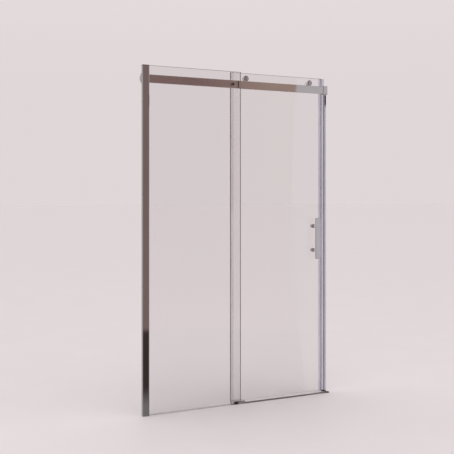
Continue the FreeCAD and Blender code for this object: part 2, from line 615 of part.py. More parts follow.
def floor_guide():
    """Block on the floor that holds the corner of the fixed glass and guides the sliding glass."""
    span = ("guide_left_x", "guide_right_x")
    outline = oblong(("guide_front_y", "guide_back_y"), ("0", "guide_height"))
    body = extruded("floor_guide_block", "YZ_Plane", outline, ("guide_left_x", "0", "0"),
                    "guide_right_x - guide_left_x")
    top = value("guide_height")
    eased(body, "Fillet", "guide_round",
          lambda edge: along("x")(edge) and abs(edge.CenterOfMass.z - top) < 1e-6)
    high = "guide_height + cut_overrun"
    grip = block("guide_grip_slot", ("guide_left_x - cut_overrun", "fixed_reach + guide_end_gap"),
                 ("-guide_gasket", "glass_thickness + guide_gasket"), ("guide_base", high))
    slot = block("guide_panel_slot", ("guide_left_x - cut_overrun", "guide_right_x + cut_overrun"),
                 ("slot_front_y", "slot_back_y"), ("guide_slot_floor", high))
    tools = [grip, slot]
    for side in ("-", "+"):
        place = (f"guide_mid_x {side} guide_hole_span / 2", "guide_hole_y", "-cut_overrun")
        tools.append(rod(f"guide_hole_{len(tools)}", "z", "guide_hole_radius", place,
                         "guide_height + 2 * cut_overrun"))
    grub_z = "(guide_base + guide_height) / 2"
    grub_x = "fixed_reach - guide_grub_inset"
    tools.append(rod("guide_thread", "y", "grub_radius + grub_fit",
                     (grub_x, "guide_front_y - cut_overrun", grub_z), "guide_front_wall + 2 * cut_overrun"))
    keep(cut("floor_guide", body, *tools))
    keep(rod("floor_guide_grub_screw", "y", "grub_radius", (grub_x, "guide_front_y", grub_z),
             "guide_front_wall"))
    back = "glass_thickness + guide_gasket"
    outline = [
        ("-guide_gasket", "guide_base"), (back, "guide_base"), (back, "guide_height"),
        ("glass_thickness", "guide_height"), ("glass_thickness", "fixed_floor_gap"),
        ("0", "fixed_floor_gap"), ("0", "guide_height"), ("-guide_gasket", "guide_height"),
    ]
    keep(extruded("floor_guide_gasket", "YZ_Plane", outline, ("guide_left_x", "0", "0"), "guide_grip"))
    tall = ("guide_slot_floor", "guide_height")
    front = block("guide_liner_front", span, ("slot_front_y", "slot_front_y + guide_liner"), tall)
    rear = block("guide_liner_back", span, ("slot_back_y - guide_liner", "slot_back_y"), tall)
    keep(group("floor_guide_liners", front, rear))


def threshold():
    """Low bar across the entry with a cap against the right wall."""
    across = ("-threshold_overhang", "threshold_back_y")
    bar = extruded("threshold_bar", "YZ_Plane", oblong(across, ("0", "threshold_height")),
                   ("guide_right_x", "0", "0"), "threshold_right_x - guide_right_x")
    top = value("threshold_height")
    keep(eased(bar, "Fillet", "threshold_round",
               lambda edge: along("x")(edge) and abs(edge.CenterOfMass.z - top) < 1e-6))
    cap = extruded("threshold_end_cap", "YZ_Plane",
                   oblong(across, ("0", "threshold_height + threshold_cap_rise")),
                   ("threshold_right_x", "0", "0"), "threshold_cap_length")
    top = value("threshold_height + threshold_cap_rise")
    keep(eased(cap, "Fillet", "threshold_round",
               lambda edge: along("x")(edge) and abs(edge.CenterOfMass.z - top) < 1e-6))


def buffer():
    """Arm behind the left socket with a soft tip that stops the open sliding panel."""
    centre = ("door_mid_y", "rail_mid_z")
    arm = block("door_buffer_arm_bar", ("0", "buffer_arm_length"),
                ("socket_back_y", "door_mid_y + buffer_arm_back"),
                ("rail_mid_z - buffer_arm_height / 2", "rail_mid_z + buffer_arm_height / 2"))
    plug = rod("door_buffer_plug", "x", "buffer_plug_radius", ("buffer_arm_length", *centre), "buffer_plug")
    post = doc.addObject("Part::Fuse", "door_buffer_arm")
    post.Base = arm
    post.Tool = plug
    keep(post)
    tip = rod("buffer_tip_bar", "x", "buffer_tip_radius", ("buffer_arm_length", *centre), "buffer_tip")
    bore = rod("buffer_tip_bore", "x", "buffer_plug_radius + buffer_fit",
               ("buffer_arm_length - cut_overrun", *centre), "buffer_plug + buffer_fit + cut_overrun")
    keep(cut("door_buffer_tip", tip, bore))


def write_parts():
    """Check every piece, then write one file for each."""
    doc.recompute()
    for item in doc.Objects:
        if "Invalid" in item.State or "Error" in item.State:
            raise RuntimeError(f"{item.Label} did not build: {item.State}")
    for item in nodes:
        if item.Shape.isNull() or not item.Shape.isValid():
            raise RuntimeError(f"{item.Label} has no valid shape")
    os.makedirs("parts", exist_ok=True)
    for item in nodes:
        item.Shape.exportStep(f"parts/{item.Label}.step")
        box = item.Shape.BoundBox
        print(f"{item.Label:26s} solids {len(item.Shape.Solids)} volume {item.Shape.Volume:12.1f}"
              f"  x {box.XMin:8.2f} {box.XMax:8.2f}  y {box.YMin:7.2f} {box.YMax:7.2f}"
              f"  z {box.ZMin:8.2f} {box.ZMax:8.2f}")


fill_sheets()
wall_profile()
fixed_panel()
rail()
strike()
sliding_panel()
roller("left", "left_roller_x")
roller("right", "right_roller_x")
handle()
floor_guide()
threshold()
buffer()
write_parts()
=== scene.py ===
import math

import bmesh
import bpy
import numpy as np
from bpy.props import FloatProperty, FloatVectorProperty, IntProperty, PointerProperty
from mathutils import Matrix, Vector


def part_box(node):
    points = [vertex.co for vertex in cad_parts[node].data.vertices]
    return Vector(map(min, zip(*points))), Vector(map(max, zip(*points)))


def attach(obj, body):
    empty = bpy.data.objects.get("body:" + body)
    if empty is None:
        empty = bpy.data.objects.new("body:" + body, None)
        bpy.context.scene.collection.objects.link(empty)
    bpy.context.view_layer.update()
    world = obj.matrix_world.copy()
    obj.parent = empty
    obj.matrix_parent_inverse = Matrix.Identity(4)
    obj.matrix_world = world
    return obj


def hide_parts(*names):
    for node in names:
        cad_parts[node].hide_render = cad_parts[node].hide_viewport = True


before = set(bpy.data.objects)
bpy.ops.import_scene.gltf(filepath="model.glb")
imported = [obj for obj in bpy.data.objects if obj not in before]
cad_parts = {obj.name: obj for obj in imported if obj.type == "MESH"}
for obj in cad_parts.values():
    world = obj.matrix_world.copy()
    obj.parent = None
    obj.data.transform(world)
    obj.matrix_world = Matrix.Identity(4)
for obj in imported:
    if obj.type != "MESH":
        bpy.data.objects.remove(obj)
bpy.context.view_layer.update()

bl_info = {
    "name": "Sliding Shower Door",
    "version": (1, 0, 0),
    "blender": (4, 5, 0),
    "location": "View3D > Sidebar > Shower Door",
    "description": "Finishes, soft strips and turned fittings of a sliding shower door",
    "category": "Object",
}

MM = 0.001
X, Y, Z = 0, 1, 2
SKIN = 0.05 * MM  # gap between a soft piece and what it touches
WELD = 1e-7  # points closer than this are merged
SHARP = math.radians(38)  # edges that turn further than this stay sharp
BEVEL = 0.4 * MM  # small bevel on turned rims
TAPER = 4 * MM  # length over which the leg of a seal's clip thins out
SHOULDER = 0.6  # share of its thickness that such a leg has left at its end
MOTTLE = (0.3, 0.7)  # part of the noise that a mottled colour goes over
CLAMP_SPAN = (557 * MM, 582 * MM)  # where the black clamp of the guide lies along X
CLAMP_BACK = -0.5 * MM  # where it ends along Y
TURNED_REACH = "turned_reach"  # name of the distance along a turned profile, kept at each point
SIDES = ("left", "right")


def colour(name, about, default):
    """Property that holds one colour."""
    return FloatVectorProperty(name=name, description=about, default=default, subtype="COLOR",
                               size=3, min=0, soft_max=1)


def length(name, about, default):
    """Property that holds one size in metres."""
    return FloatProperty(name=name, description=about, default=default, unit="LENGTH", min=0,
                         precision=5)


def share(name, about, default):
    """Property that holds one number from zero to one."""
    return FloatProperty(name=name, description=about, default=default, subtype="FACTOR", min=0, max=1)


class MetalLooks(bpy.types.PropertyGroup):
    """Chrome of the profiles, the rail and the fittings."""

    profile: colour("Profile", "Colour of the drawn profiles", (0.51, 0.52, 0.515))
    rail: colour("Rail", "Colour of the rail and its sockets", (0.63, 0.59, 0.57))
    fitting: colour("Fittings", "Colour of the handle, the guide and the buffer's arm", (0.64, 0.62, 0.62))
    # Lighter than the profile's chrome: a painted highlight, a lit copy of the same chrome.
    strike: colour("Strike", "Colour of the strike profile", (0.76, 0.75, 0.76))
    threshold: colour("Threshold", "Colour of the bar on the floor", (0.34, 0.33, 0.33))
    turned: colour("Turned fittings", "Colour of the roller faces, nuts and knobs", (0.50, 0.49, 0.50))
    screw: colour("Rail screw", "Colour of the screw between pane and rail", (0.22, 0.21, 0.21))
    post: colour("Posts", "Colour of the handle's posts", (0.86, 0.84, 0.85))
    steel: colour("Steel", "Colour of the hidden screws and bearings", (0.50, 0.50, 0.50))
    gloss: share("Roughness", "Least roughness of the chrome", 0.008)


class GlassLooks(bpy.types.PropertyGroup):
    """The two panes."""

    tint: colour("Tint", "Colour that the panes give to what is behind them", (0.925, 0.92, 0.923))
    # The ground edges are partly their grind and partly painted shade: darker and wider than a real ground
    # edge, they stand in for the dark line that a glass edge shows.
    fixed_edge_grind_and_shade: colour("Fixed edge", "Colour of the fixed pane's ground edges", (0.2, 0.185, 0.184))
    sliding_edge_grind_and_shade: colour("Sliding edge", "Colour of the sliding pane's ground edges", (0.26, 0.25, 0.26))
    left_width: length("Left width", "Width of the ground edge along a left side", 1.0 * MM)
    right_width: length("Right width", "Width of the ground edge along a right side", 5.6 * MM)
    level_width: length("Level width", "Width of the ground edge along the top", 2.4 * MM)
    frost: share("Edge roughness", "Roughness of the ground edges", 0.5)


class SoftLooks(bpy.types.PropertyGroup):
    """Seals, gaskets and the buffer."""

    clear: colour("Clear strip", "Colour of the clear strips", (0.945, 0.93, 0.945))
    floor_clear: colour("Floor strip", "Colour of the strip under the fixed pane", (0.72, 0.69, 0.695))
    closing: colour("Closing seal", "Colour of the seal on the closing side", (0.84, 0.835, 0.89))
    grey: colour("Grey rubber", "Colour of the gaskets", (0.33, 0.32, 0.33))
    strike: colour("Strike strip", "Colour of the soft strip in the strike", (0.50, 0.485, 0.525))
    black: colour("Black rubber", "Colour of the buffer's tip", (0.025, 0.025, 0.026))
    plastic: colour("Black plastic", "Colour of the end caps", (0.04, 0.038, 0.038))
    # This near black also colours the foot of the closing seal and the strike: painted contact shadow where
    # they meet the floor.
    clamp: colour("Clamp", "Colour of the guide's clamp and of the end plugs", (0.012, 0.011, 0.011))
    nylon: colour("Nylon", "Colour of the wheels, bushes and glides", (0.76, 0.75, 0.73))
    spacer: colour("Spacer", "Colour of the spacer behind the rail screw", (0.13, 0.105, 0.1))
    # Below this height the closing seal's stub, the strike and its strip turn near black: painted contact
    # shadow.
    foot: length("Foot", "Height of the black plugs under the closing seal and in the strike", 8 * MM)
    sway: length("Sway", "How far a free lip wanders along its length", 0.25 * MM)


class StageLooks(bpy.types.PropertyGroup):
    """Floor, light and camera."""

    floor: colour("Floor", "Colour of the floor", (0.80, 0.792, 0.797))
    backdrop: colour("Backdrop", "Colour of the air around the door", (0.743, 0.679, 0.686))
    overhead: colour("Overhead", "Colour of the air above", (1.09, 0.996, 1.006))
    front_tone: colour("Front tone", "What chrome mirrors in front of the door", (0.325, 0.222, 0.218))
    warm_tone: colour("Warm tone", "What chrome mirrors to the right of that", (0.46, 0.35, 0.305))
    side_tone: colour("Side tone", "What chrome mirrors on the right", (0.645, 0.63, 0.675))
    low_tone: colour("Low tone", "What chrome mirrors low in front", (0.075, 0.05, 0.048))
    floor_tone: colour("Floor tone", "What chrome mirrors on the floor", (0.29, 0.255, 0.265))
    under_tone: colour("Under tone", "What chrome mirrors straight below", (0.05, 0.038, 0.036))
    up_tone: colour("Up tone", "What chrome mirrors above", (0.15, 0.125, 0.12))
    back_tone: colour("Back tone", "What chrome mirrors behind the door", (0.62, 0.58, 0.575))
    top_light: FloatProperty(name="Top light", description="Power of the light above", default=6,
                             subtype="POWER", min=0)
    camera_place: FloatVectorProperty(name="Camera", description="Place of the camera",
                                      default=(-1.589, -4.178, 1.198), subtype="TRANSLATION")
    camera_turn: FloatProperty(name="Camera turn", description="How far the camera looks to the right",
                               default=math.radians(26.686), subtype="ANGLE")
    camera_lens: FloatProperty(name="Lens", description="Focal length in millimetres", default=65.3)
    camera_drop: FloatProperty(name="Drop", description="Upright shift of the lens", default=-0.0714)


class DoorLooks(bpy.types.PropertyGroup):
    """All settings of the door."""

    metal: PointerProperty(type=MetalLooks)
    glass: PointerProperty(type=GlassLooks)
    soft: PointerProperty(type=SoftLooks)
    stage: PointerProperty(type=StageLooks)
    turn_steps: IntProperty(name="Turn steps", description="Sides of a turned fitting", default=72, min=12)


def looks():
    """Settings of this scene."""
    return bpy.context.scene.shower_door


class Signal:
    """One socket of a node tree. Arithmetic on it adds Math nodes to the tree."""

    def __init__(self, tree, socket=None):
        self.tree = tree
        self.socket = socket

    def node(self, kind, settings=(), values=(), output=0):
        """Add a node, its settings first and then the values or links of its sockets."""
        made = self.tree.nodes.new(kind)
        for name, setting in dict(settings).items():
            setattr(made, name, setting)
        for name, item in dict(values).items():
            if isinstance(item, Signal):
                self.tree.links.new(item.socket, made.inputs[name])
            else:
                made.inputs[name].default_value = item
        return Signal(self.tree, made.outputs[output] if made.outputs else None)

    def math(self, operation, first, second=0.0):
        """Value of one Math node."""
        return self.node("ShaderNodeMath", {"operation": operation}, {0: first, 1: second})

    def __add__(self, other):
        return self.math("ADD", self, other)

    def __sub__(self, other):
        return self.math("SUBTRACT", self, other)

    def __rsub__(self, other):
        return self.math("SUBTRACT", other, self)

    def __mul__(self, other):
        return self.math("MULTIPLY", self, other)

    __radd__ = __add__
    __rmul__ = __mul__

    def least(self, other):
        """Smaller of two values."""
        return self.math("MINIMUM", self, other)

    def ramp(self, low, high):
        """Smooth step from zero at low to one at high."""
        return self.node("ShaderNodeMapRange", {"interpolation_type": "SMOOTHSTEP"},
                         {"Value": self, "From Min": low, "From Max": high})

    def blend(self, first, second):
        """Colour that goes from the first to the second as this value goes from zero to one."""
        pair = [item if isinstance(item, Signal) else (*item, 1.0) for item in (first, second)]
        return self.node("ShaderNodeMix", {"data_type": "RGBA"}, {0: self, 6: pair[0], 7: pair[1]}, 2)

    def mottle(self, tone, factor):
        """Colour that goes from a dimmed tone to the tone itself as this noise grows."""
        return self.ramp(*MOTTLE).blend(dim(tone, factor), tone)

    def noise(self, scale, detail):
        """Noise at this place. The scale is one number, or one for each axis, which stretches it."""
        scales = np.broadcast_to(scale, 3).tolist()
        place = self.node("ShaderNodeMapping", values={"Vector": self, "Scale": scales})
        return self.node("ShaderNodeTexNoise", values={"Vector": place, "Scale": 1.0, "Detail": detail})

    def axes(self):
        """The three numbers of a place or direction."""
        split = self.node("ShaderNodeSeparateXYZ", values={"Vector": self}).socket.node
        return [Signal(self.tree, split.outputs[axis]) for axis in (X, Y, Z)]

    def into(self, shader, socket):
        """Link this to a socket of a shader."""
        self.tree.links.new(self.socket, shader.inputs[socket])


def new_finish(name, constants):
    """Material with one Principled shader; gives the material, its place signal and the shader."""
    material = bpy.data.materials.new(name)
    material.use_nodes = True
    shader = material.node_tree.nodes["Principled BSDF"]
    for socket, number in constants.items():
        shader.inputs[socket].default_value = number
    start = Signal(material.node_tree)
    return material, start.node("ShaderNodeTexCoord", output="Object"), shader


def dim(tone, factor):
    """Colour made darker or lighter by a factor."""
    return tuple(factor * part for part in tone)


def relief(shader, height, depth, strength):
    """Bump that feeds the shader's normal."""
    bump = height.node("ShaderNodeBump", values={"Strength": strength, "Distance": depth, "Height": height})
    bump.into(shader, "Normal")


def stretched(along, slow, fine):
    """Scales of a noise that runs in lines along one axis."""
    return [slow if axis == along else fine for axis in (X, Y, Z)]


def painted_foot_shadow(place, tone, foot):
    """Colour that turns to near black below the height of the foot, where there is one: painted contact
    shadow at the floor.
    """
    if foot is None:
        return tone
    height = place.axes()[Z]
    return height.ramp(foot - SKIN, foot + SKIN).blend(looks().soft.clamp, tone)


def drawn_chrome(name, tone, along, foot=None):
    """Bright chrome on a drawn section: fine die lines run along one axis under soft wiping marks."""
    line_haze, wipe_haze = 0.008, 0.014
    material, place, shader = new_finish(name, {"Metallic": 1.0})
    lines = place.noise(stretched(along, 2.0, 900.0), 3.0)
    wiped = place.noise(5.0, 3.0)
    (lines * line_haze + wiped * wipe_haze + looks().metal.gloss).into(shader, "Roughness")
    # Near black below the foot: painted contact shadow.
    painted_foot_shadow(place, wiped.mottle(tone, 0.94), foot).into(shader, "Base Color")
    relief(shader, lines, depth=0.02 * MM, strength=0.08)
    return material


def polished_chrome(name, tone):
    """Cast chrome with fine scattered scratches and a faint cloud of finger marks."""
    scratch_haze, mark_haze = 0.03, 0.04
    material, place, shader = new_finish(name, {"Metallic": 1.0})
    scratches = place.noise((60.0, 60.0, 1400.0), 2.0).ramp(0.62, 0.72)
    marks = place.noise(28.0, 4.0)
    (scratches * scratch_haze + marks * mark_haze + looks().metal.gloss).into(shader, "Roughness")
    marks.mottle(tone, 0.95).into(shader, "Base Color")
    return material


def turned_chrome(name, tone):
    """Chrome with the rings that a lathe leaves, read from the piece's own turned distance."""
    ring_rate, ring_haze, mark_haze = 9000.0, 0.01, 0.04
    material, place, shader = new_finish(name, {"Metallic": 1.0})
    reach = place.node("ShaderNodeAttribute", {"attribute_name": TURNED_REACH}, output="Fac")
    rings = reach.math("SINE", reach * ring_rate)
    marks = place.noise(40.0, 3.0)
    (rings * ring_haze + marks * mark_haze + looks().metal.gloss).into(shader, "Roughness")
    marks.mottle(tone, 0.95).into(shader, "Base Color")
    relief(shader, rings, depth=0.01 * MM, strength=0.1)
    return material


def satin_silver(name, tone):
    """Pale blasted metal that scatters most of the light."""
    least_metal, metal_swing = 0.15, 0.1
    material, place, shader = new_finish(name, {"Roughness": 0.42})
    grain = place.noise(1200.0, 2.0)
    (grain * metal_swing + least_metal).into(shader, "Metallic")
    grain.mottle(tone, 0.93).into(shader, "Base Color")
    relief(shader, grain, depth=0.02 * MM, strength=0.2)
    return material


def clamp_and_chrome(name, tone, clamp_tone, span, behind):
    """Chrome with a moulded black clamp between two places along X, in front of one place along Y."""
    material, place, shader = new_finish(name, {})
    x, y, _ = place.axes()
    chrome = 1 - (x - span[0]).least(span[1] - x).least(behind - y).ramp(-SKIN, SKIN)
    grain = place.noise(1100.0, 2.0)
    moulded, bright = grain * 0.15 + 0.35, grain * 0.03 + looks().metal.gloss
    chrome.into(shader, "Metallic")
    ((1 - chrome) * moulded + bright).into(shader, "Roughness")
    chrome.blend(clamp_tone, tone).into(shader, "Base Color")
    return material


def machined_steel(name, tone):
    """Dull steel with short tool marks."""
    least_haze, haze_swing = 0.22, 0.18
    material, place, shader = new_finish(name, {"Metallic": 1.0})
    marks = place.noise((700.0, 120.0, 700.0), 3.0)
    (marks * haze_swing + least_haze).into(shader, "Roughness")
    marks.mottle(tone, 0.85).into(shader, "Base Color")
    relief(shader, marks, depth=0.03 * MM, strength=0.15)
    return material


def clear_glass(name, node, edge_grind_and_shade_tone):
    """Clear pane mixed with a frosted finish on its ground edge, which is found by the distance to the
    nearest side of the pane or to its top.
    Its dark tone is partly the grind and partly painted shade, the dark line of a glass edge. The back of the
    edge stays clear."""
    settings = looks().glass
    smear, grind_swing = 0.006, 0.2
    material, place, shader = new_finish(name, {"Transmission Weight": 1.0, "IOR": 1.5})
    shader.inputs["Base Color"].default_value = (*settings.tint, 1.0)
    (place.noise((1.5, 1.5, 9.0), 4.0).ramp(0.45, 0.8) * smear).into(shader, "Roughness")
    low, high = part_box(node)
    x, y, z = place.axes()
    side = ((x - low.x) * (1 / settings.left_width)).least((high.x - x) * (1 / settings.right_width))
    level = (high.z - z) * (1 / settings.level_width)
    inside, behind = side.least(level).ramp(0.8, 1.1), (y - low.y).ramp(2.5 * MM, 3.5 * MM)
    grind = place.noise(900.0, 2.0)
    frosted = place.node("ShaderNodeBsdfPrincipled", values={
        "Base Color": grind.mottle(edge_grind_and_shade_tone, 0.9),
        "Roughness": grind * grind_swing + (settings.frost - grind_swing / 2),
    })
    clear = Signal(place.tree, shader.outputs[0])
    # Dark edge band: partly the grind, partly painted shade.
    edge = (1 - inside) * (1 - behind)
    mixed = place.node("ShaderNodeMixShader", values={0: edge, 1: clear, 2: frosted})
    mixed.into(place.tree.nodes["Material Output"], "Surface")
    return material


def clear_strip(name, tone, along, foot=None):
    """Clear soft plastic with faint flow lines along its length and milky patches."""
    line_haze, milk_haze, least_haze = 0.1, 0.08, 0.04
    material, place, shader = new_finish(name, {"Transmission Weight": 1.0, "IOR": 1.14})
    lines = place.noise(stretched(along, 1.5, 500.0), 2.0)
    milk = place.noise(stretched(along, 6.0, 40.0), 3.0)
    (lines * line_haze + milk * milk_haze + least_haze).into(shader, "Roughness")
    # Near black below the foot: painted contact shadow.
    painted_foot_shadow(place, milk.mottle(tone, 0.94), foot).into(shader, "Base Color")
    relief(shader, lines, depth=0.05 * MM, strength=0.12)
    return material


def matt_mould(name, tone, grain, depth, roughness, foot=None):
    """Rubber or plastic with the fine grain of its mould and a slight bloom."""
    pit_haze, bloom_haze = 0.12, 0.1
    least_haze = roughness - (pit_haze + bloom_haze) / 2
    material, place, shader = new_finish(name, {"Specular IOR Level": 0.25})
    pits = place.noise(grain, 2.0)
    bloom = place.noise(18.0, 4.0)
    (pits * pit_haze + bloom * bloom_haze + least_haze).into(shader, "Roughness")
    bloomed = bloom.ramp(0.35, 0.75).blend(tone, dim(tone, 1.18))
    # Near black below the foot: painted contact shadow.
    painted_foot_shadow(place, bloomed, foot).into(shader, "Base Color")
    relief(shader, pits, depth, strength=0.25)
    return material


RUBBER = {"grain": 900.0, "depth": 0.04 * MM}
BUFFER = {"grain": 700.0, "depth": 0.05 * MM, "roughness": 0.7}
MOULDED = {"grain": 1100.0, "depth": 0.03 * MM, "roughness": 0.45}
NYLON = {"grain": 800.0, "depth": 0.02 * MM, "roughness": 0.38}

FINISH_MAKERS = {
    "profile_upright": lambda name: drawn_chrome(name, looks().metal.profile, Z),
    # Strike chrome: lighter than the profile's, a painted highlight, and near black below the foot, painted
    # contact shadow.
    "strike_upright": lambda name: drawn_chrome(name, looks().metal.strike, Z, looks().soft.foot),
    "threshold_level": lambda name: drawn_chrome(name, looks().metal.threshold, X),
    "rail_level": lambda name: drawn_chrome(name, looks().metal.rail, X),
    "cast_chrome": lambda name: polished_chrome(name, looks().metal.fitting),
    "post_silver": lambda name: satin_silver(name, looks().metal.post),
    "guide_chrome": lambda name: clamp_and_chrome(name, looks().metal.fitting, looks().soft.clamp,
                                                  CLAMP_SPAN, CLAMP_BACK),
    "lathe_chrome": lambda name: turned_chrome(name, looks().metal.turned),
    "screw_chrome": lambda name: turned_chrome(name, looks().metal.screw),
    "tool_steel": lambda name: machined_steel(name, looks().metal.steel),
    # The panes' dark ground edges are partly painted shade.
    "fixed_pane": lambda name: clear_glass(name, "fixed_glass", looks().glass.fixed_edge_grind_and_shade),
    "sliding_pane": lambda name: clear_glass(name, "door_glass", looks().glass.sliding_edge_grind_and_shade),
    "clear_upright": lambda name: clear_strip(name, looks().soft.clear, Z),
    "clear_level": lambda name: clear_strip(name, looks().soft.clear, X),
    "floor_clear": lambda name: clear_strip(name, looks().soft.floor_clear, X),
    # Near black stub under the closing seal: painted contact shadow.
    "closing_upright": lambda name: clear_strip(name, looks().soft.closing, Z,
                                                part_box("door_closing_seal")[0].z - SKIN),
    "gasket_grey": lambda name: matt_mould(name, looks().soft.grey, **RUBBER, roughness=0.62),
    # Strike strip, near black below the foot: painted contact shadow.
    "strike_grey": lambda name: matt_mould(name, looks().soft.strike, **RUBBER, roughness=0.5,
                                           foot=looks().soft.foot),
    "buffer_black": lambda name: matt_mould(name, looks().soft.black, **BUFFER),
    "moulded_black": lambda name: matt_mould(name, looks().soft.plastic, **MOULDED),
    "nylon_pale": lambda name: matt_mould(name, looks().soft.nylon, **NYLON),
    "nylon_dark": lambda name: matt_mould(name, looks().soft.spacer, **NYLON),
}
FINISHES = {}


def finish(name):
    """Finish by its name, made when it is first asked for."""
    if name not in FINISHES:
        FINISHES[name] = FINISH_MAKERS[name](name)
    return FINISHES[name]


def coat(name, *nodes):
    """Give solids of the frame a finish."""
    for node in nodes:
        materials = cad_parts[node].data.materials
        materials.clear()
        materials.append(finish(name))


def quads(rows, columns, round_rows, round_columns):
    """Corner numbers of the four-sided faces on a grid of points, joined round where asked."""
    row = np.arange(rows if round_rows else rows - 1)[:, None]
    column = np.arange(columns if round_columns else columns - 1)[None, :]
    next_row, next_column = (row + 1) % rows * columns, (column + 1) % columns
    here = row * columns
    corners = [here + column, here + next_column, next_row + next_column, next_row + column]
    return np.stack(np.broadcast_arrays(*corners), axis=-1).reshape(-1, 4)


def mm(*numbers):
    """Lengths that are given in millimetres."""
    return MM * np.array(numbers)


def rounded(corners, radii, steps=5):
    """Closed outline with each corner P replaced by (1-t)^2 A + 2t(1-t) P + t^2 C, where A and C lie
    on the two sides at the corner's radius from P, or at 0.45 of a side that is too short."""
    most = 0.45
    corner = np.asarray(corners, float)
    radius = np.broadcast_to(np.asarray(radii, float), len(corner))[:, None]
    ends = []
    for step in (1, -1):
        side = np.roll(corner, step, axis=0) - corner
        reach = np.linalg.norm(side, axis=1, keepdims=True)
        ends.append(corner + side / reach * np.minimum(radius, most * reach))
    t = np.linspace(0, 1, steps)[None, :, None]
    curve = (1 - t) ** 2 * ends[0][:, None] + 2 * t * (1 - t) * corner[:, None] + t ** 2 * ends[1][:, None]
    return curve.reshape(-1, 2)


def strip(outline, along, span, sway=None, stations=2):
    """Grid S(u, v): the closed outline at u, carried straight along one axis to the place v. Sway names
    an axis and gives each point's share of a slow wave along it, 0.6 sin(7v) + 0.4 sin(17v + 1)."""
    across = [axis for axis in (X, Y, Z) if axis != along]
    place = np.linspace(*span, stations)[:, None]
    grid = np.empty((stations, len(outline), 3))
    grid[..., along] = place
    grid[..., across] = outline
    if sway is not None:
        axis, weight = sway
        grid[..., axis] += weight * (0.6 * np.sin(7 * place) + 0.4 * np.sin(17 * place + 1))
    count = len(outline)
    ends = [list(range(count)), list(range(count * (stations - 1), count * stations))]
    return grid.reshape(-1, 3), quads(stations, count, False, True).tolist() + ends


def pipe(outer, inner, along, span):
    """Grid round the wall of a hollow strip: the outer outline from end to end, then the inner one back."""
    skins = [strip(outer, along, span)[0], strip(inner, along, span[::-1])[0]]
    return np.concatenate(skins), quads(4, len(outer), True, True).tolist()


def turned(profile, centre, axis=Y, facets=None):
    """Grid T(u, v): the profile's radius r at v, turned by the angle u about a line along one axis.
    Facets blend a row from a circle to a hexagon, r / cos((u mod 60) - 30)."""
    steps = looks().turn_steps
    radius, place = np.asarray(profile, float).T
    angle = np.linspace(0, 2 * np.pi, steps, endpoint=False)
    hexagon = 1 / np.cos(angle % (np.pi / 3) - np.pi / 6) - 1
    bulge = 1 + np.outer(np.zeros(len(radius)) if facets is None else facets, hexagon)
    across = [item for item in (X, Y, Z) if item != axis]
    grid = np.empty((len(radius), steps, 3))
    grid[..., axis] = place[:, None]
    grid[..., across[0]] = centre[0] + radius[:, None] * bulge * np.cos(angle)
    grid[..., across[1]] = centre[1] + radius[:, None] * bulge * np.sin(angle)
    return grid.reshape(-1, 3), quads(len(radius), steps, radius.min() > 0, True).tolist()


def piece(name, parts, body, coating, replaced, reach=None):
    """Object made of closed grids: seams and poles merged, faces turned outwards, set on its body."""
    grids = [points for points, _ in parts]
    starts = np.cumsum([0] + [len(points) for points in grids])
    faces = [[corner + start for corner in face] for start, part in zip(starts, parts) for face in part[1]]
    mesh = bpy.data.meshes.new(name)
    mesh.from_pydata(np.concatenate(grids).tolist(), [], faces)
    if reach is not None:
        mesh.attributes.new(TURNED_REACH, "FLOAT", "POINT").data.foreach_set("value", reach)
    work = bmesh.new()
    work.from_mesh(mesh)
    bmesh.ops.remove_doubles(work, verts=work.verts, dist=WELD)
    bmesh.ops.recalc_face_normals(work, faces=work.faces)
    work.to_mesh(mesh)
    work.free()
    mesh.shade_smooth()
    mesh.set_sharp_from_angle(angle=SHARP)
    mesh.materials.append(finish(coating))
    item = bpy.data.objects.new(name, mesh)
    bpy.context.scene.collection.objects.link(item)
    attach(item, body)
    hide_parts(*replaced)


def turned_piece(name, profiles, body, coating, replaced, axis=Y, facets=None):
    """Object made of turned profiles, each with its centre; keeps the distance along each profile."""
    parts = [turned(profile, centre, axis, facets) for profile, centre in profiles]
    reach = []
    for profile, _ in profiles:
        run = np.linalg.norm(np.diff(np.asarray(profile, float), axis=0), axis=1)
        reach.append(np.repeat(np.concatenate([[0], np.cumsum(run)]), looks().turn_steps))
    piece(name, parts, body, coating, replaced, np.concatenate(reach))


def washer(bore, rim, start, end):
    """Profile of a flat ring with rounded rims."""
    ease = 0.3 * (end - start)
    return [
        (bore, start + ease), (bore + ease, start), (rim - ease, start), (rim, start + ease),
        (rim, end - ease), (rim - ease, end), (bore + ease, end), (bore, end - ease),
    ]


def bored_end(base, rim, bore, depth):
    """Start of a profile: the blind hole, then the flat end round it with a bevel at its rim."""
    return [(0, base + depth), (bore, base + depth), (bore, base), (rim - BEVEL, base), (rim, base + BEVEL)]


def arc(middle, reach, rise, angle):
    """Points middle + (reach cos(angle), rise sin(angle)) of a profile."""
    return list(zip(middle[0] + reach * np.cos(angle), middle[1] + rise * np.sin(angle)))


def centre_of(node, axis=Y):
    """Middle of a solid, without one axis."""
    low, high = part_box(node)
    return [(low[item] + high[item]) / 2 for item in (X, Y, Z) if item != axis]


class SHOWERDOOR_OT_profiles(bpy.types.Operator):
    """Chrome on the profiles, the threshold and the rail with its sockets, and their caps and block"""

    bl_idname = "shower_door.profiles"
    bl_label = "Profiles and Rail"

    def execute(self, context):
        coat("profile_upright", "wall_profile")
        # The strike gets the painted highlight and the painted contact shadow at its foot.
        coat("strike_upright", "strike_profile")
        coat("threshold_level", "threshold_bar")
        coat("rail_level", "guide_rail", "rail_socket_left", "rail_socket_right")
        coat("moulded_black", "wall_profile_cap", "threshold_end_cap")
        coat("gasket_grey", "glass_setting_block")
        return {"FINISHED"}


class SHOWERDOOR_OT_panes(bpy.types.Operator):
    """Clear glass with ground edges on both panes"""

    bl_idname = "shower_door.panes"
    bl_label = "Panes"

    def execute(self, context):
        coat("fixed_pane", "fixed_glass")
        coat("sliding_pane", "door_glass")
        return {"FINISHED"}


